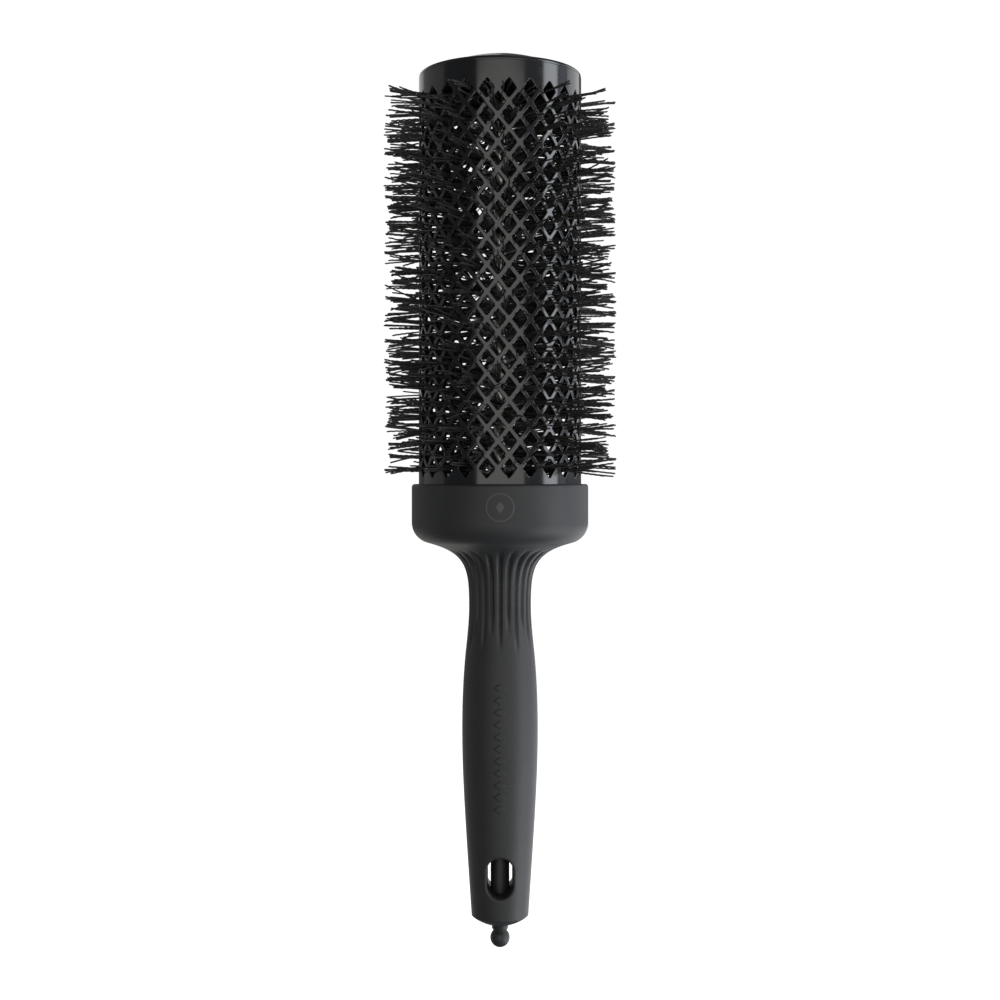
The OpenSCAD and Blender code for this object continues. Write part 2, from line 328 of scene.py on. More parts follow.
def rounded_rhombus(a, b, r, grow):
    """CELL_POINTS points of a rhombus with rounded corners, grown outwards, and the outward
    direction at each."""
    edge = a * b / math.hypot(a, b)
    inner = (edge - r) / edge
    centres = np.array([(a * inner, 0), (0, b * inner), (-a * inner, 0), (0, -b * inner)])
    half = math.atan2(a, b)
    normals, points = [], []
    for side in range(4):
        axis = side * math.pi / 2
        turn = half if side % 2 == 0 else math.pi / 2 - half
        here, there = centres[side], centres[(side + 1) % 4]
        out_mid = np.array([math.cos(axis), math.sin(axis)])
        out_end = np.array([math.cos(axis + turn), math.sin(axis + turn)])
        points.append(here + (r + grow) * out_mid)
        normals.append(out_mid)
        for share in (0, 1 / 3, 2 / 3, 1):
            points.append(here + (there - here) * share + (r + grow) * out_end)
            normals.append(out_end)
    return np.array(points), np.array(normals)


def cell_side():
    """CELL_POINTS points round the rhombic cell that one vent stands in."""
    corners = np.array([(math.pi * BARREL_R / COLUMNS, 0), (0, RING_STEP)])
    corners = np.concatenate([corners, -corners])
    points = [corners[s] + (corners[(s + 1) % 4] - corners[s]) * t
              for s in range(4) for t in SIDE_STOPS]
    return np.array(points)


def wrap(uv, radius, phi, z):
    """A point u along the barrel's outside and v up, at that radius, as x, y, z."""
    a = phi + uv[..., 0] / BARREL_R
    return np.stack([radius * np.cos(a), radius * np.sin(a), z + uv[..., 1]], -1)


def wrap_direction(uv_direction, uv, phi):
    """A flat direction as it lies on the barrel at that point."""
    a = phi + uv[..., 0] / BARREL_R
    u, v = uv_direction[..., 0], uv_direction[..., 1]
    return np.stack([-np.sin(a) * u, np.cos(a) * u, v], -1)


def radial(uv, phi):
    """The direction away from the axis at that point."""
    a = phi + uv[..., 0] / BARREL_R
    return np.stack([np.cos(a), np.sin(a), np.zeros_like(a)], -1)


def vent_angle(ring, column):
    """Azimuth of a vent's middle. Every other ring is half a vent further on."""
    return FRONT + VENT_TURN + (column + (ring % 2) / 2) * 2 * math.pi / COLUMNS


def vent_cell():
    """One vent's rings of points in flat form: (points, direction out of the vent, radius, turn).
    Turn is how far, in degrees, the surface has rolled from facing outwards into the vent; at 90
    it is the vent's wall and at 180 the barrel's inside."""
    edge = cell_side()
    loop, out = rounded_rhombus(VENT_A, VENT_B, VENT_ROUND, 0)
    rings = [(edge, out, BARREL_R, 0)]
    for turn in (0, 30, 60, 90):
        a = math.radians(turn)
        grown, _ = rounded_rhombus(VENT_A, VENT_B, VENT_ROUND, EDGE_ROUND * (1 - math.sin(a)))
        rings.append((grown, out, BARREL_R - EDGE_ROUND * (1 - math.cos(a)), turn))
    return rings + [(loop, out, BARREL_IN_R, 90), (edge, out, BARREL_IN_R, 180)]


def band(edge_z, stops, phi):
    """Rings of points from the lattice's zigzag edge to a plain end, with their normals and quads.
    Stops are (radius, z, out, up), and z is None on the zigzag edge itself."""
    count = len(phi)
    co, normals = [], []
    for radius, z, out, up in stops:
        height = edge_z if z is None else np.full(count, z)
        co.append(np.stack([radius * np.cos(phi), radius * np.sin(phi), height], -1))
        normals.append(np.stack([out * np.cos(phi), out * np.sin(phi), np.full(count, up)], -1))
    return np.concatenate(co), np.concatenate(normals), grid_quads(len(stops), count, True)


def zigzag(ring, upward):
    """Azimuth and height of the lattice's last points above or below a ring of vents."""
    edge = cell_side()
    half = CELL_POINTS // 2
    chosen = edge[:half + 1] if upward else np.concatenate([edge[half:], edge[:1]])
    order = np.argsort(chosen[:, 0])[:-1]
    chosen = chosen[order]
    phi = np.concatenate([vent_angle(ring, c) + chosen[:, 0] / BARREL_R for c in range(COLUMNS)])
    height = np.tile(chosen[:, 1], COLUMNS) + FIRST_RING_Z + RING_STEP * ring
    return phi, height


def face_out(co, quads, normals):
    """Turns each quad so that it faces the way its points' normals do."""
    p = co[quads]
    across = np.cross(p[:, 2] - p[:, 0], p[:, 3] - p[:, 1])
    wrong = (across * normals[quads].sum(1)).sum(1) < 0
    quads[wrong] = quads[wrong][:, ::-1]
    return quads


def make_barrel():
    """The vented tube: one cell per vent, and a plain band at each end."""
    rings = vent_cell()
    cell_quads = grid_quads(len(rings), CELL_POINTS, True)
    co, normals, quads, count = [], [], [], 0
    for ring in range(RINGS):
        for column in range(COLUMNS):
            phi, z = vent_angle(ring, column), FIRST_RING_Z + RING_STEP * ring
            for uv, out, radius, turn in rings:
                a = math.radians(turn)
                co.append(wrap(uv, radius, phi, z))
                normals.append(math.cos(a) * radial(uv, phi)
                               - math.sin(a) * wrap_direction(out, uv, phi))
            quads.append(cell_quads + count)
            count += CELL_POINTS * len(rings)
    phi, height = zigzag(RINGS - 1, True)
    clear = FIRST_RING_Z + RING_STEP * RINGS + 0.5  # just above the topmost vents
    top_stops = [(BARREL_R, None, 1, 0), (BARREL_R, clear, 1, 0),
                 (BARREL_R, BARREL_TOP - LIP, 1, 0),
                 (BARREL_R - 0.3 * LIP, BARREL_TOP - 0.3 * LIP, 0.7, 0.7),
                 (BARREL_R - LIP, BARREL_TOP, 0, 1), (BARREL_IN_R, BARREL_TOP, 0, 1),
                 (BARREL_IN_R, BARREL_TOP - 0.02, -1, 0), (BARREL_IN_R, clear, -1, 0),
                 (BARREL_IN_R, None, -1, 0)]
    parts = [band(height, top_stops, phi)]
    phi, height = zigzag(0, False)
    bottom_stops = [(BARREL_R, None, 1, 0), (BARREL_R, COLLAR_TOP, 1, 0),
                    (BARREL_R, BARREL_Z, 1, 0), (BARREL_IN_R, BARREL_Z, -1, 0),
                    (BARREL_IN_R, COLLAR_TOP, -1, 0), (BARREL_IN_R, None, -1, 0)]
    parts.append(band(height, bottom_stops, phi))
    for points, directions, faces in parts:
        co.append(points)
        normals.append(directions / np.linalg.norm(directions, axis=1)[:, None])
        quads.append(faces + count)
        count += len(points)
    co, normals, quads = np.concatenate(co), np.concatenate(normals), np.concatenate(quads)
    quads = face_out(co, quads, normals)
    co, faces, normals = weld(co, quads, normals)
    piece = build("vented_barrel", co, faces, COAT, normals=normals)
    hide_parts("barrel")


def make_cap():
    """End cap: a rounded rim over the barrel's edge, a low dome, and the plug inside."""
    rim_round, rim_z = 0.85, BARREL_TOP + 1.25
    plug_r, plug_z, chamfer = BARREL_IN_R - 0.05, BARREL_TOP - 4.2, 0.3
    plug_in_r = plug_r - 2
    boss_r, boss_z = 4, low("end_cap")
    socket_r, socket_top = 1.75, high("core_wire_a") + 0.2
    under_z = CAP_TOP - 1.85  # the dome's underside on the axis
    profile = np.concatenate([
        [(0, socket_top), (socket_r, socket_top), (socket_r, boss_z), (boss_r, boss_z),
         (boss_r, under_z - 0.3)],
        bezier((0, under_z), (9, under_z), (14, BARREL_TOP + 1.2), (plug_in_r, BARREL_TOP), 16)[4:],
        [(plug_in_r, plug_z + chamfer), (plug_in_r + chamfer, plug_z),
         (plug_r - chamfer, plug_z), (plug_r, plug_z + chamfer)],
        [(plug_r, BARREL_TOP + 0.02), (BARREL_R - 0.11, BARREL_TOP + 0.02)],
        arc(BARREL_R - 0.11, BARREL_TOP + 0.08, 0.06, -60, 0, 3),
        arc(BARREL_R - 0.05 - rim_round, rim_z - rim_round, rim_round, 0, 90, 10),
        bezier((BARREL_R - rim_round - 0.2, rim_z), (15, BARREL_TOP + 2.9), (9, CAP_TOP),
               (0, CAP_TOP), 36)])
    piece = closed_lathe("domed_cap", profile, 160, CAP, sharp=50)
    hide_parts("end_cap")


# ---------- bristle core ----------

WIRE_R = 0.8
WIRE_LEAD = 12.0  # height of one full turn of the twist


def make_wire(name, node, phase):
    """One of the two core wires, twisted left-handed round the axis."""
    bottom, top = low(node), high(node)
    sides, rings = 12, 300
    z = np.linspace(bottom, top, rings)
    a = phase - 2 * math.pi * z / WIRE_LEAD
    orbit = WIRE_R + 0.03  # a hair's breadth between the two wires
    path = np.stack([orbit * np.cos(a), orbit * np.sin(a), z], -1)
    co, quads = tubes(path[None], np.array([WIRE_R]), sides)
    ends = [np.arange(sides)[None, ::-1], (np.arange(sides) + (rings - 1) * sides)[None]]
    piece = build(name, co, [quads, *ends], STEEL)
    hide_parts(node)


def tubes(paths, radii, sides, taper=None):
    """Round tubes along many paths at once: paths is (tubes, rings, 3). The first side of each ring
    is level, so no path may run straight up."""
    count, rings, _ = paths.shape
    along = np.gradient(paths, axis=1)
    along /= np.linalg.norm(along, axis=2, keepdims=True)
    flat = np.cross([0.0, 0.0, 1.0], along)
    steep = np.linalg.norm(flat, axis=2, keepdims=True)
    side = flat / np.maximum(steep, 1e-6)
    up = np.cross(along, side)
    a = np.arange(sides) * 2 * math.pi / sides
    ring = side[:, :, None] * np.cos(a)[:, None] + up[:, :, None] * np.sin(a)[:, None]
    radius = radii[:, None] * (np.ones(rings) if taper is None else taper)
    co = paths[:, :, None] + ring * radius[:, :, None, None]
    quads = grid_quads(rings, sides, True)
    quads = (quads[None] + (np.arange(count) * rings * sides)[:, None, None]).reshape(-1, 4)
    return co.reshape(-1, 3), quads


FILAMENT_R = 0.235
FILAMENT_COUNTS = [1, 2, 3, 4, 5, 6]  # filaments in a vent
COUNT_SHARES = [0.07, 0.24, 0.27, 0.18, 0.14, 0.1]  # share of the vents with each count
CRIMP_LENGTH = 1.6
CRIMP_SIZE = (0.02, 0.07)
TIP_R = high("bristle_row_01", 0)
SHORT_SHARE, SHORT_TIPS = 0.3, (29.6, 31.6)  # share of the tufts that end short, and where
STRAY_SHARE = 0.015
SIDES = 4
CORE_EXIT_R = 1.0
EXIT_R = BARREL_R - 0.4  # the middle of the barrel's wall


def hermite(t, p0, p1, m0, m1):
    """Cubic curve from p0 to p1 with slopes m0 and m1."""
    return ((2 * t ** 3 - 3 * t ** 2 + 1) * p0 + (t ** 3 - 2 * t ** 2 + t) * m0
            + (3 * t ** 2 - 2 * t ** 3) * p1 + (t ** 3 - t ** 2) * m1)


def make_bristles(row):
    """The crimped filaments that leave through one pair of rings of vents. The two core wires grip
    them, so each filament starts at the height where the gap between the wires faces its vent."""
    rng = np.random.RandomState(700 + row)
    phi, z, shared_tip, shared_a, shared_z, hole_a, hole_z = [], [], [], [], [], [], []
    for ring in range(2 * row, min(2 * row + 2, RINGS)):
        for column in range(COLUMNS):
            many = rng.choice(FILAMENT_COUNTS, p=COUNT_SHARES)
            tip = rng.uniform(*SHORT_TIPS) if rng.rand() < SHORT_SHARE else TIP_R
            lean = rng.normal(0, 0.02, 2)
            place = rng.uniform(-1, 1, 2)
            for _ in range(many):
                spot = np.clip(place + rng.normal(0, 0.35, 2), -1, 1)
                phi.append(vent_angle(ring, column))
                z.append(FIRST_RING_Z + RING_STEP * ring)
                shared_tip.append(tip)
                shared_a.append(lean[0])
                shared_z.append(lean[1])
                hole_a.append(spot[0] * (VENT_A - 0.5))
                hole_z.append(spot[1] * (1 - abs(spot[0])) * (VENT_B - 0.6))
    phi, z, shared_tip, shared_a, shared_z, hole_a, hole_z = (
        np.array(v) for v in (phi, z, shared_tip, shared_a, shared_z, hole_a, hole_z))
    count = len(phi)

    # Height of the wires' gap that faces this way, nearest to the vent: it recurs every half turn
    gap = (math.pi / 2 - phi) / (2 * math.pi) * WIRE_LEAD
    core_z = gap + WIRE_LEAD / 2 * np.round((z + rng.normal(0, 0.9, count) - gap) / (WIRE_LEAD / 2))
    core_z += rng.normal(0, 0.35, count) - z
    core_a = rng.normal(0, 0.2, count)
    span = EXIT_R - CORE_EXIT_R
    slope_a, slope_z = (hole_a - core_a) / span, (hole_z - core_z) / span
    lean_a = slope_a + shared_a + rng.normal(0, 0.03, count)
    lean_z = 0.75 * slope_z + shared_z + rng.normal(0, 0.03, count)
    stray = rng.rand(count) < STRAY_SHARE
    lean_z = np.where(stray, lean_z + rng.normal(0, 0.2, count), lean_z)
    lean_a = np.where(stray, lean_a + rng.normal(0, 0.2, count), lean_a)
    tip = shared_tip - 0.06 - np.abs(rng.normal(0, 0.4, count))

    inner = np.linspace(CORE_EXIT_R, EXIT_R, 9)
    outer = np.linspace(0, 1, 34)[1:]
    radius = np.concatenate([np.tile(inner, (count, 1)),
                             EXIT_R + (tip - EXIT_R)[:, None] * outer], 1)
    t = np.minimum((radius - CORE_EXIT_R) / span, 1)
    beyond = np.maximum(radius - EXIT_R, 0)
    curl_a, curl_z = rng.normal(0, 0.004, count), rng.normal(0, 0.004, count)
    start_a = (slope_a + rng.normal(0, 0.05, count)) * span
    start_z = (slope_z + rng.normal(0, 0.06, count)) * span
    offset_a = hermite(t, core_a[:, None], hole_a[:, None],
                       start_a[:, None], (lean_a * span)[:, None])
    offset_z = hermite(t, core_z[:, None], hole_z[:, None],
                       start_z[:, None], (lean_z * span)[:, None])
    offset_a += lean_a[:, None] * beyond + curl_a[:, None] * beyond ** 2
    offset_z += lean_z[:, None] * beyond + curl_z[:, None] * beyond ** 2

    wave = np.sin(2 * math.pi * radius / CRIMP_LENGTH + rng.uniform(0, 2 * math.pi, count)[:, None])
    wave *= smooth(radius, EXIT_R - 1.5, EXIT_R + 0.5)
    plane = rng.uniform(0, math.pi, count)
    size = rng.uniform(*CRIMP_SIZE, count)
    offset_a += (size * np.cos(plane))[:, None] * wave
    offset_z += (size * np.sin(plane))[:, None] * wave

    # Keep the tip's distance from the axis, however far the filament leans
    reach = np.sqrt(np.maximum(radius ** 2 - offset_a ** 2, 0.01))
    x = reach * np.cos(phi)[:, None] - offset_a * np.sin(phi)[:, None]
    y = reach * np.sin(phi)[:, None] + offset_a * np.cos(phi)[:, None]
    paths = np.stack([x, y, z[:, None] + offset_z], -1)
    taper = np.ones(paths.shape[1])
    taper[-1] = 0.7
    co, quads = tubes(paths, FILAMENT_R * rng.uniform(0.88, 1.08, count), SIDES, taper)
    rings = paths.shape[1]
    first = np.arange(count)[:, None] * rings * SIDES
    ends = [first + np.arange(SIDES)[::-1], first + (rings - 1) * SIDES + np.arange(SIDES)]
    piece = build(f"bristles_{row + 1:02d}", co, [quads, *ends], NYLON,
                  sharp=0)
    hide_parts(f"bristle_row_{row + 1:02d}")


# ---------- handle ----------

FILLET_R = 5.8
FLARE_SLOPE = math.radians(15)
NECK_R, NECK_Z = 8.6, 94.5
BELLY_R, BELLY_Z = 10.5, 60.0
TAIL_R, END_ROUND, DOME_R = 7.9, 0.4, 12.4
COLLAR_ROUND = 0.8
CUP_ROUND = 0.35


def grip_profile():
    """The skin's surface, from the middle of the cup, over the collar and down to the dome."""
    cx, cz = COLLAR_R - FILLET_R, FLANGE_Z + 0.4
    down = -np.array([math.cos(FLARE_SLOPE), math.sin(FLARE_SLOPE)])
    fillet = arc(cx, cz, FILLET_R, 0, math.degrees(FLARE_SLOPE) - 90, 22)
    top = fillet[-1]
    dome_angle = math.degrees(math.asin((TAIL_R - END_ROUND) / (DOME_R - END_ROUND)))
    tail_z = GRIP_END_Z + DOME_R - (DOME_R - END_ROUND) * math.cos(math.radians(dome_angle))
    flare = bezier(top, top + 11 * down, (NECK_R, NECK_Z + 11), (NECK_R, NECK_Z), 52)
    waist = bezier((NECK_R, NECK_Z), (NECK_R, NECK_Z - 8), (BELLY_R, BELLY_Z + 20),
                   (BELLY_R, BELLY_Z), 40)
    grip = bezier((BELLY_R, BELLY_Z), (BELLY_R, BELLY_Z - 14), (TAIL_R + 1.3, tail_z + 20),
                  (TAIL_R, tail_z), 64)
    return np.concatenate([
        [(0, FLANGE_Z), (CUP_R - 0.4, FLANGE_Z), (CUP_R, FLANGE_Z), (CUP_R, FLANGE_Z + 0.4)],
        [(CUP_R, COLLAR_TOP - 0.36)],
        arc(CUP_R + CUP_ROUND, COLLAR_TOP - CUP_ROUND, CUP_ROUND, 180, 90, 4),
        arc(COLLAR_R - COLLAR_ROUND, COLLAR_TOP - COLLAR_ROUND, COLLAR_ROUND, 90, 0, 7),
        np.stack([np.full(6, COLLAR_R),
                  np.linspace(COLLAR_TOP - COLLAR_ROUND - 0.4, cz + 0.4, 6)], -1),
        fillet, flare[1:], waist[1:], grip[1:],
        arc(TAIL_R - END_ROUND, tail_z, END_ROUND, -12, dome_angle - 90, 5),
        arc(0, GRIP_END_Z + DOME_R, DOME_R, dome_angle - 90, -90, 12)[1:]])


PROFILE = grip_profile()
OUTSIDE = PROFILE[np.argmax(PROFILE[:, 0] > COLLAR_R - 1e-6):]


def grip_r(z):
    """Radius of the handle at a height below the collar."""
    return np.interp(z, OUTSIDE[::-1, 1], OUTSIDE[::-1, 0])


GROOVES = 24
GROOVE_PITCH = 2 * math.pi / GROOVES
GROOVE_DEPTH = 0.58
GROOVE_HALF = math.radians(5.6)
LONG_END, SHORT_END = 81.5, 86.0  # lower ends of the long and the short grooves
RUN_OUT = 8  # height over which a groove reaches its depth
FADE_FROM, FADE_TO = 107, 111.2  # where the grooves run out on the flare
DEEPER, DEEPER_FROM = 0.5, 100  # how much deeper they get towards there, and from what height


def groove_depth(phi, z):
    """How deep the neck's grooves are at an azimuth and height, long and short ones by turns."""
    turn = (phi - FRONT) / GROOVE_PITCH
    nearest = np.round(turn)
    off = (turn - nearest) * GROOVE_PITCH
    end = np.where(nearest % 2 == 0, LONG_END, SHORT_END)
    along = (smooth(z, end, end + RUN_OUT) * (1 - smooth(z, FADE_FROM, FADE_TO))
             * (1 + DEEPER * smooth(z, DEEPER_FROM, FADE_FROM)))
    across = np.cos(np.minimum(np.abs(off / GROOVE_HALF), 1) * math.pi / 2) ** 2
    return GROOVE_DEPTH * along * across


STEPS_PER_GROOVE = 15
CROWDING = 1.15  # draws the grid's columns together near each groove
WINDOW_HALF = 35  # columns of the grid that the slot's patch takes, each way
WINDOW_REACH = 7.6  # height that it takes, each way
SLOT_ROUND = 0.75
SLOT_DRAFT = 0.3  # how far the slot closes in towards its middle


def obround(grow, shares):
    """Points (x, z) round the slot, anticlockwise from its right middle, at shares of its length."""
    r, h = SLOT_W / 2 + grow, (SLOT_H - SLOT_W) / 2
    length = 2 * math.pi * r + 4 * h
    s = shares * length
    out = np.zeros((len(s), 2))
    a = (s - h) / r
    b = (s - 3 * h - math.pi * r) / r
    straight_1 = s <= h
    cap_1 = (s > h) & (s <= h + math.pi * r)
    straight_2 = (s > h + math.pi * r) & (s <= 3 * h + math.pi * r)
    cap_2 = (s > 3 * h + math.pi * r) & (s <= 3 * h + 2 * math.pi * r)
    straight_3 = s > 3 * h + 2 * math.pi * r
    out[straight_1] = np.stack([np.full(straight_1.sum(), r), s[straight_1]], -1)
    out[cap_1] = np.stack([r * np.cos(a[cap_1]), h + r * np.sin(a[cap_1])], -1)
    out[straight_2] = np.stack([np.full(straight_2.sum(), -r),
                                h - (s[straight_2] - h - math.pi * r)], -1)
    out[cap_2] = np.stack([-r * np.cos(b[cap_2]), -h - r * np.sin(b[cap_2])], -1)
    out[straight_3] = np.stack([np.full(straight_3.sum(), r), s[straight_3] - length], -1)
    return out


def front_y(xz):
    """Where the grip's front stands at points (x, z) given from the slot's middle."""
    return -np.sqrt(grip_r(xz[:, 1] + SLOT_Z) ** 2 - xz[:, 0] ** 2)


def at_slot(xz, y):
    return np.stack([xz[:, 0], y, xz[:, 1] + SLOT_Z], -1)


def slot_patch(window):
    """Rings of points from the window cut in the grid, over the slot's soft edge, through to the
    back, and how many rings they are."""
    centre = np.array([0, SLOT_Z])
    flat = window[:, [0, 2]] - centre
    step = np.linalg.norm(np.roll(flat, -1, 0) - flat, axis=1)
    share = np.concatenate([[0], np.cumsum(step)[:-1]]) / step.sum()
    edge = obround(SLOT_ROUND, share)
    rings = []
    for t in np.linspace(0, 1, 9)[1:]:
        xz = flat * (1 - t) + edge * t
        rings.append(at_slot(xz, front_y(xz)))
    for k in range(1, 6):
        beta = math.radians(18 * k)
        xz = obround(SLOT_ROUND * (1 - math.sin(beta)), share)
        rings.append(at_slot(xz, front_y(xz) + SLOT_ROUND * (1 - math.cos(beta))))
    front = [window] + rings
    back = [ring * np.array([1, -1, 1]) for ring in reversed(front)]
    near, far = front[-1], back[0]
    middle = []
    for t in np.linspace(0, 1, 12)[1:-1]:
        ring = near + (far - near) * t
        xz = obround(-SLOT_DRAFT * (1 - abs(2 * t - 1)), share)
        middle.append(at_slot(xz, ring[:, 1]))
    rings = front + middle + back
    return np.concatenate(rings), len(rings)


def make_grip():
    """The soft skin: collar, flare, grooved neck and grip, with the slot through its end."""
    steps = STEPS_PER_GROOVE * GROOVES
    turn = np.arange(steps) / STEPS_PER_GROOVE
    nearest = np.round(turn)
    off = turn - nearest
    turn = nearest + 0.5 * np.sign(off) * np.abs(2 * off) ** CROWDING
    phi = FRONT + turn * GROOVE_PITCH
    r, z = PROFILE[:, :1], PROFILE[:, 1:]
    along = np.gradient(PROFILE, axis=0)
    out = np.stack([-along[:, 1], along[:, 0]], -1)
    out /= np.linalg.norm(out, axis=1)[:, None]
    below = (np.arange(len(PROFILE)) > len(PROFILE) - len(OUTSIDE))[:, None]
    depth = np.where(below, groove_depth(phi[None], z), 0)
    rr, zz = r - depth * out[:, :1], z - depth * out[:, 1:]
    co = np.stack([rr * np.cos(phi), rr * np.sin(phi), np.broadcast_to(zz, (len(z), steps))], -1)
    rows = np.nonzero((np.abs(PROFILE[:, 1] - SLOT_Z) < WINDOW_REACH) & below[:, 0])[0]
    top, bottom = rows[0], rows[-1]
    quads = grid_quads(len(PROFILE), steps, True)
    row, column = quads[:, 0] // steps, quads[:, 0] % steps
    near = (column + WINDOW_HALF) % steps < 2 * WINDOW_HALF
    far = (column - steps // 2 + WINDOW_HALF) % steps < 2 * WINDOW_HALF
    quads = quads[~((row >= top) & (row < bottom) & (near | far))]

    middle = (top + bottom) // 2
    right = [(i, WINDOW_HALF) for i in range(middle, top, -1)]
    over = [(top, j) for j in range(WINDOW_HALF, -WINDOW_HALF, -1)]
    left = [(i, -WINDOW_HALF) for i in range(top, bottom)]
    under = [(bottom, j) for j in range(-WINDOW_HALF, WINDOW_HALF)]
    rest = [(i, WINDOW_HALF) for i in range(bottom, middle, -1)]
    window = np.array([co[i, j % steps] for i, j in right + over + left + under + rest])
    patch, patch_rings = slot_patch(window)
    patch_quads = grid_quads(patch_rings, len(window), True)
    flat = co.reshape(-1, 3)
    quads = np.concatenate([quads[:, ::-1], patch_quads + len(flat)])
    co, faces, _ = weld(np.concatenate([flat, patch]), quads)
    piece = build("grip_skin", co, faces, SKIN, sharp=0)
    cut_bore(piece)
    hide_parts("soft_grip")


def cut_bore(piece):
    """Opens the skin for the pin's thick shaft, from below the dome to past the slot."""
    bore_r, bottom, top = 2.63, -1, 39
    co, quads = lathe([(0, bottom), (bore_r, bottom), (bore_r, top), (0, top)], 72)
    co, faces, _ = weld(co, quads)
    cutter = build("bore_cutter", co, faces, SKIN)
    modifier = piece.modifiers.new("bore", "BOOLEAN")
    modifier.operation = "DIFFERENCE"
    modifier.solver = "EXACT"
    modifier.object = cutter
    bpy.context.view_layer.update()
    graph = bpy.context.evaluated_depsgraph_get()
    mesh = bpy.data.meshes.new_from_object(piece.evaluated_get(graph))
    piece.modifiers.clear()
    piece.data = mesh
    bpy.data.objects.remove(cutter)
    mesh.polygons.foreach_set("use_smooth", np.ones(len(mesh.polygons), bool))
    mesh.set_sharp_from_angle(angle=math.radians(50))


def on_cylinder(uv, radius, z):
    """Flat points laid on the front of a round surface of that radius."""
    a = FRONT + uv[:, 0] / radius
    return np.stack([radius * np.cos(a), radius * np.sin(a), z + uv[:, 1]], -1)


def pad(a, b, corner, z, surface, proud, sink=0.2):
    """A low lozenge with a soft edge, standing on a round surface: points and faces."""
    levels = [(0, -sink), (0, proud * 0.4), (-0.05, proud * 0.8), (-0.15, proud)]
    rings = []
    for grow, lift in levels:
        uv, _ = rounded_rhombus(a, b, corner, max(grow, -corner * 0.9))
        rings.append(on_cylinder(uv, surface(z + uv[:, 1]) + lift, z))
    uv, _ = rounded_rhombus(a, b, corner, -corner * 0.9)
    for shrink in (0.55, 0.0):
        rings.append(on_cylinder(uv * shrink, surface(z + uv[:, 1] * shrink) + proud, z))
    return np.concatenate(rings), grid_quads(len(rings), CELL_POINTS, True)


def make_pads():
    """The column of raised lozenges on the front of the grip."""
    count, step, top = 11, 3.3, 73.0
    half_width, half_height, corner, proud = 1.8, 1.2, 0.2, 0.28
    co, quads, total = [], [], 0
    for i in range(count):
        points, faces = pad(half_width, half_height, corner, top - step * i, grip_r, proud)
        co.append(points)
        quads.append(faces + total)
        total += len(points)
    co, faces, _ = weld(np.concatenate(co), np.concatenate(quads))
    build("grip_lozenges", co, faces, SKIN, sharp=60)


def make_badge():
    """A plain ring with a lozenge in it, a hair proud of the collar's front."""
    z = (low("collar_mark") + high("collar_mark")) / 2
    ring_r = (high("collar_mark") - low("collar_mark")) / 2
    lift, steps = 0.03, 96
    a = np.linspace(0, 2 * math.pi, steps + 1)[:-1]
    rings = []
    for radius, up in ((ring_r, -0.1), (ring_r, lift * 0.4), (ring_r - 0.04, lift),
                       (ring_r - 0.31, lift), (ring_r - 0.35, lift * 0.4), (ring_r - 0.35, -0.1)):
        uv = np.stack([radius * np.cos(a), radius * np.sin(a)], -1)
        rings.append(on_cylinder(uv, COLLAR_R + up, z))
    ring_quads = grid_quads(len(rings), steps, True)
    co = np.concatenate(rings)
    points, faces = pad(1.2, 1.6, 0.15, z, lambda h: np.full(np.shape(h), COLLAR_R), lift, 0.1)
    co, faces, _ = weld(np.concatenate([co, points]), np.concatenate([ring_quads, faces + len(co)]))
    piece = build("collar_badge", co, faces, BADGE, sharp=60)
    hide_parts("collar_mark")


def make_pin():
    """Sectioning pin: ball end, neck, thick shaft and a long tapered pick."""
    ball, shaft, neck = 2.7, 2.6, 1.8
    tip_z, tip_r, pick_z = high("sectioning_pin"), 0.9, 39.5
    join = math.degrees(math.asin(neck / ball))
    profile = np.concatenate([
        arc(0, ball, ball, -90, 90 - join, 24),
        [(neck, 4.85), (neck + 0.3, 5.05), (shaft - 0.35, 5.4), (shaft - 0.3, 6.4)],
        [(shaft, 6.8), (shaft, 9.0)],
        [(shaft, 20.0), (shaft, pick_z - 2.2), (shaft - 0.1, pick_z - 1.9), (1.8, pick_z - 0.1)],
        [(1.7, pick_z + 0.1), (1.4, pick_z + 18), (tip_r, tip_z - tip_r)],
        arc(0, tip_z - tip_r, tip_r, 0, 90, 8)[1:]])
    piece = closed_lathe("parting_pin", profile, 72, PIN_SKIN, PIN_BODY, sharp=60)
    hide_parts("sectioning_pin")


def dress(node, material):
    """Gives a CAD node that stays as it is its finish."""
    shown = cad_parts[node]
    if not shown.material_slots:
        shown.data.materials.append(material)
    for place in shown.material_slots:
        place.material = material


make_barrel()
make_cap()
make_wire("twisted_wire_a", "core_wire_a", 0.0)
make_wire("twisted_wire_b", "core_wire_b", math.pi)
for row in range((RINGS + 1) // 2):
    make_bristles(row)
make_grip()
make_pads()
make_badge()
make_pin()
dress("barrel_hub", PLASTIC)
dress("handle_core", PLASTIC)
dress("hub_rivets", STEEL)
dress("wire_ferrule", STEEL)


# ---------- studio, in metres ----------

BACKDROP = 1.05  # what the camera sees of the world
LENS = 57.1
CAMERA_Y, CAMERA_Z = -0.440, 0.1295


def emission_for_camera(nodes, links, seen, unseen, kind):
    """Mixes what the camera sees directly with what lights the object."""
    path = nodes.new("ShaderNodeLightPath")
    mix = nodes.new("ShaderNodeMixShader")
    links.new(path.outputs["Is Camera Ray"], mix.inputs[0])
    links.new(unseen, mix.inputs[1])
    links.new(seen, mix.inputs[2])
    links.new(mix.outputs[0], nodes[kind].inputs["Surface"])


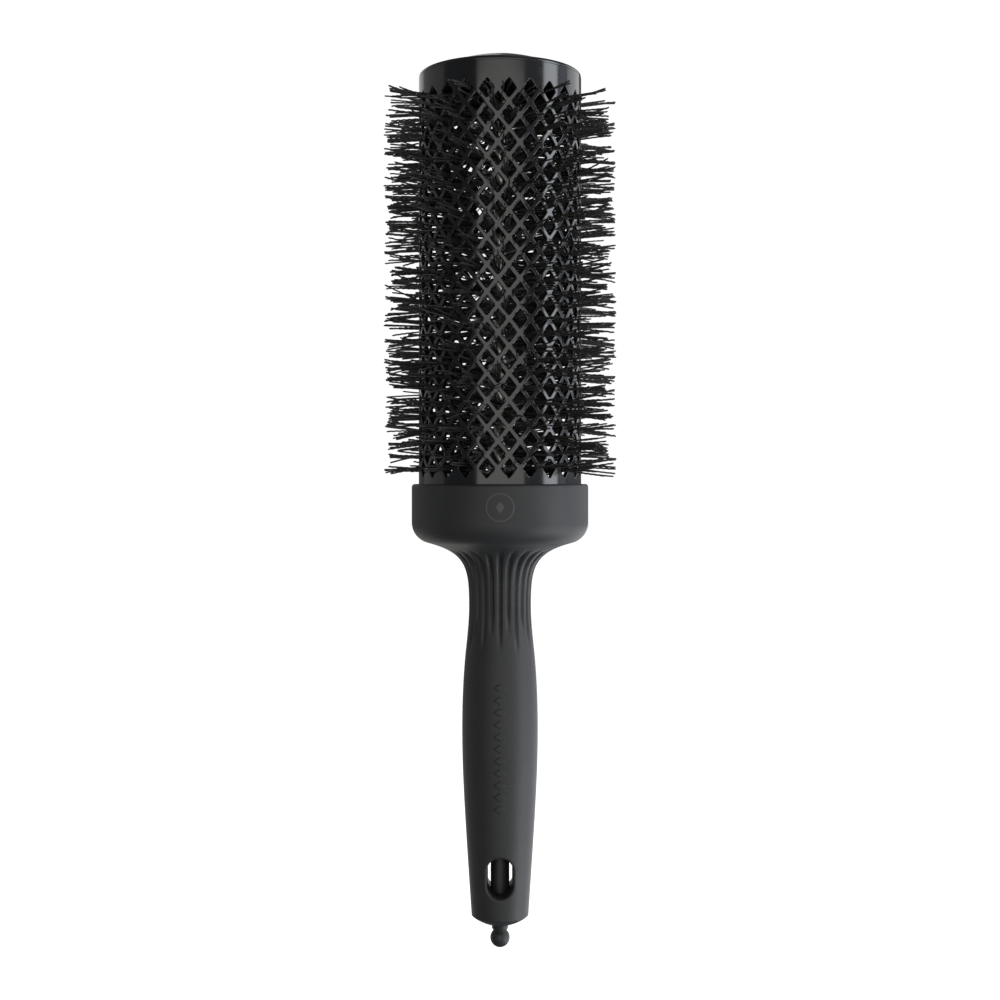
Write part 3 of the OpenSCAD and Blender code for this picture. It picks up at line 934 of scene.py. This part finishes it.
def make_world(dim):
    """White behind the object, and a dim cool room that lights it."""
    world = bpy.data.worlds.new("studio")
    bpy.context.scene.world = world
    world.use_nodes = True
    nodes, links = world.node_tree.nodes, world.node_tree.links
    white, room = nodes["Background"], nodes.new("ShaderNodeBackground")
    white.inputs["Color"].default_value = (1, 1, 1, 1)
    white.inputs["Strength"].default_value = BACKDROP
    room.inputs["Color"].default_value = (0.9, 0.95, 1, 1)
    room.inputs["Strength"].default_value = dim
    emission_for_camera(nodes, links, white.outputs[0], room.outputs[0], "World Output")


def make_floor():
    """A pale floor, which the camera sees and the light doesn't."""
    size, z = 4.0, -0.1  # low enough to show the pin pulled right out
    mesh = bpy.data.meshes.new("floor")
    corners = [(-size, -size, z), (size, -size, z), (size, size, z), (-size, size, z)]
    mesh.from_pydata(corners, [], [(0, 1, 2, 3)])
    floor = bpy.data.objects.new("floor", mesh)
    bpy.context.scene.collection.objects.link(floor)
    material = bpy.data.materials.new("pale_floor")
    material.use_nodes = True
    nodes, links = material.node_tree.nodes, material.node_tree.links
    nodes.remove(nodes["Principled BSDF"])
    plain, glow, both = (nodes.new("ShaderNode" + kind)
                         for kind in ("BsdfDiffuse", "Emission", "AddShader"))
    plain.inputs["Color"].default_value = (0.8, 0.8, 0.8, 1)
    glow.inputs["Strength"].default_value = 0.98
    links.new(plain.outputs[0], both.inputs[0])
    links.new(glow.outputs[0], both.inputs[1])
    emission_for_camera(nodes, links, both.outputs[0], plain.outputs[0], "Material Output")
    mesh.materials.append(material)
    # In the photo the brush is lit from below its end as well, so light passes the floor
    for kind in ("diffuse", "glossy", "shadow", "transmission"):
        setattr(floor, "visible_" + kind, False)


def softbox(name, azimuth, width, low_z, high_z, distance, radiance, colour):
    """A tall area light that faces the brush. Azimuth is in degrees from the front towards +X,
    width the angle it covers as seen from the brush."""
    light = bpy.data.lights.new(name, "AREA")
    light.shape = "RECTANGLE"
    light.size = 2 * distance * math.tan(math.radians(width / 2))
    light.size_y = high_z - low_z
    light.color = colour
    light.energy = radiance * math.pi * light.size * light.size_y
    lamp = bpy.data.objects.new(name, light)
    bpy.context.scene.collection.objects.link(lamp)
    a = math.radians(azimuth)
    lamp.location = (distance * math.sin(a), -distance * math.cos(a), (low_z + high_z) / 2)
    lamp.rotation_euler = (math.pi / 2, 0, a)
    lamp.visible_camera = False


def top_card():
    """A weak square light above and to the right, which the cap's dome shows when seen from above."""
    size, radiance, height = 0.6, 0.5, 1.3
    light = bpy.data.lights.new("top_card", "AREA")
    light.shape = "SQUARE"
    light.size = size
    light.energy = radiance * math.pi * size ** 2
    lamp = bpy.data.objects.new("top_card", light)
    bpy.context.scene.collection.objects.link(lamp)
    lamp.location = (0.38, -0.1, height)
    lamp.visible_camera = False


make_world(0.13)
make_floor()
softbox("front_card", 1, 66, -0.35, 0.6, 1.2, 1.2, (1.0, 0.99, 0.95))
softbox("front_right", 47, 26, -0.6, 0.6, 1.0, 0.16, (0.9, 0.9, 1.0))
softbox("right_high", 75, 24, 0.2, 0.85, 1.0, 4.0, (0.9, 0.94, 1.0))
softbox("right_level", 75, 24, 0.0, 0.2, 1.0, 4.0, (0.9, 0.94, 1.0))
softbox("right_low", 76, 30, -0.9, -0.15, 1.0, 6.0, (0.91, 0.945, 1.0))
softbox("right_side", 98, 14, -0.6, 0.6, 1.0, 0.7, (0.76, 0.8, 1.0))
softbox("rear_high", 128, 40, 0.15, 0.8, 1.0, 1.4, (0.95, 0.98, 1.0))
softbox("rear_low", 137, 62, -0.8, 0.0, 1.0, 2.0, (0.95, 0.98, 1.0))
softbox("left_rear_high", -158, 44, 0.2, 0.8, 1.0, 0.7, (1.0, 1.0, 0.95))
softbox("left_rear_low", -158, 44, -0.8, -0.1, 1.0, 0.9, (1.0, 1.0, 0.9))
softbox("left_fill", -109, 50, -0.5, 0.7, 1.0, 0.22, (1.0, 1.0, 0.95))
top_card()

camera = bpy.data.cameras.new("camera")
camera.sensor_width = 36
camera.lens = LENS
camera.shift_y = -0.02
camera.clip_start = 0.01
viewer = bpy.data.objects.new("camera", camera)
bpy.context.scene.collection.objects.link(viewer)
viewer.location = (0, CAMERA_Y, CAMERA_Z)
viewer.rotation_euler = (math.pi / 2, 0, 0)
bpy.context.scene.camera = viewer
bpy.context.scene.view_settings.view_transform = "Standard"
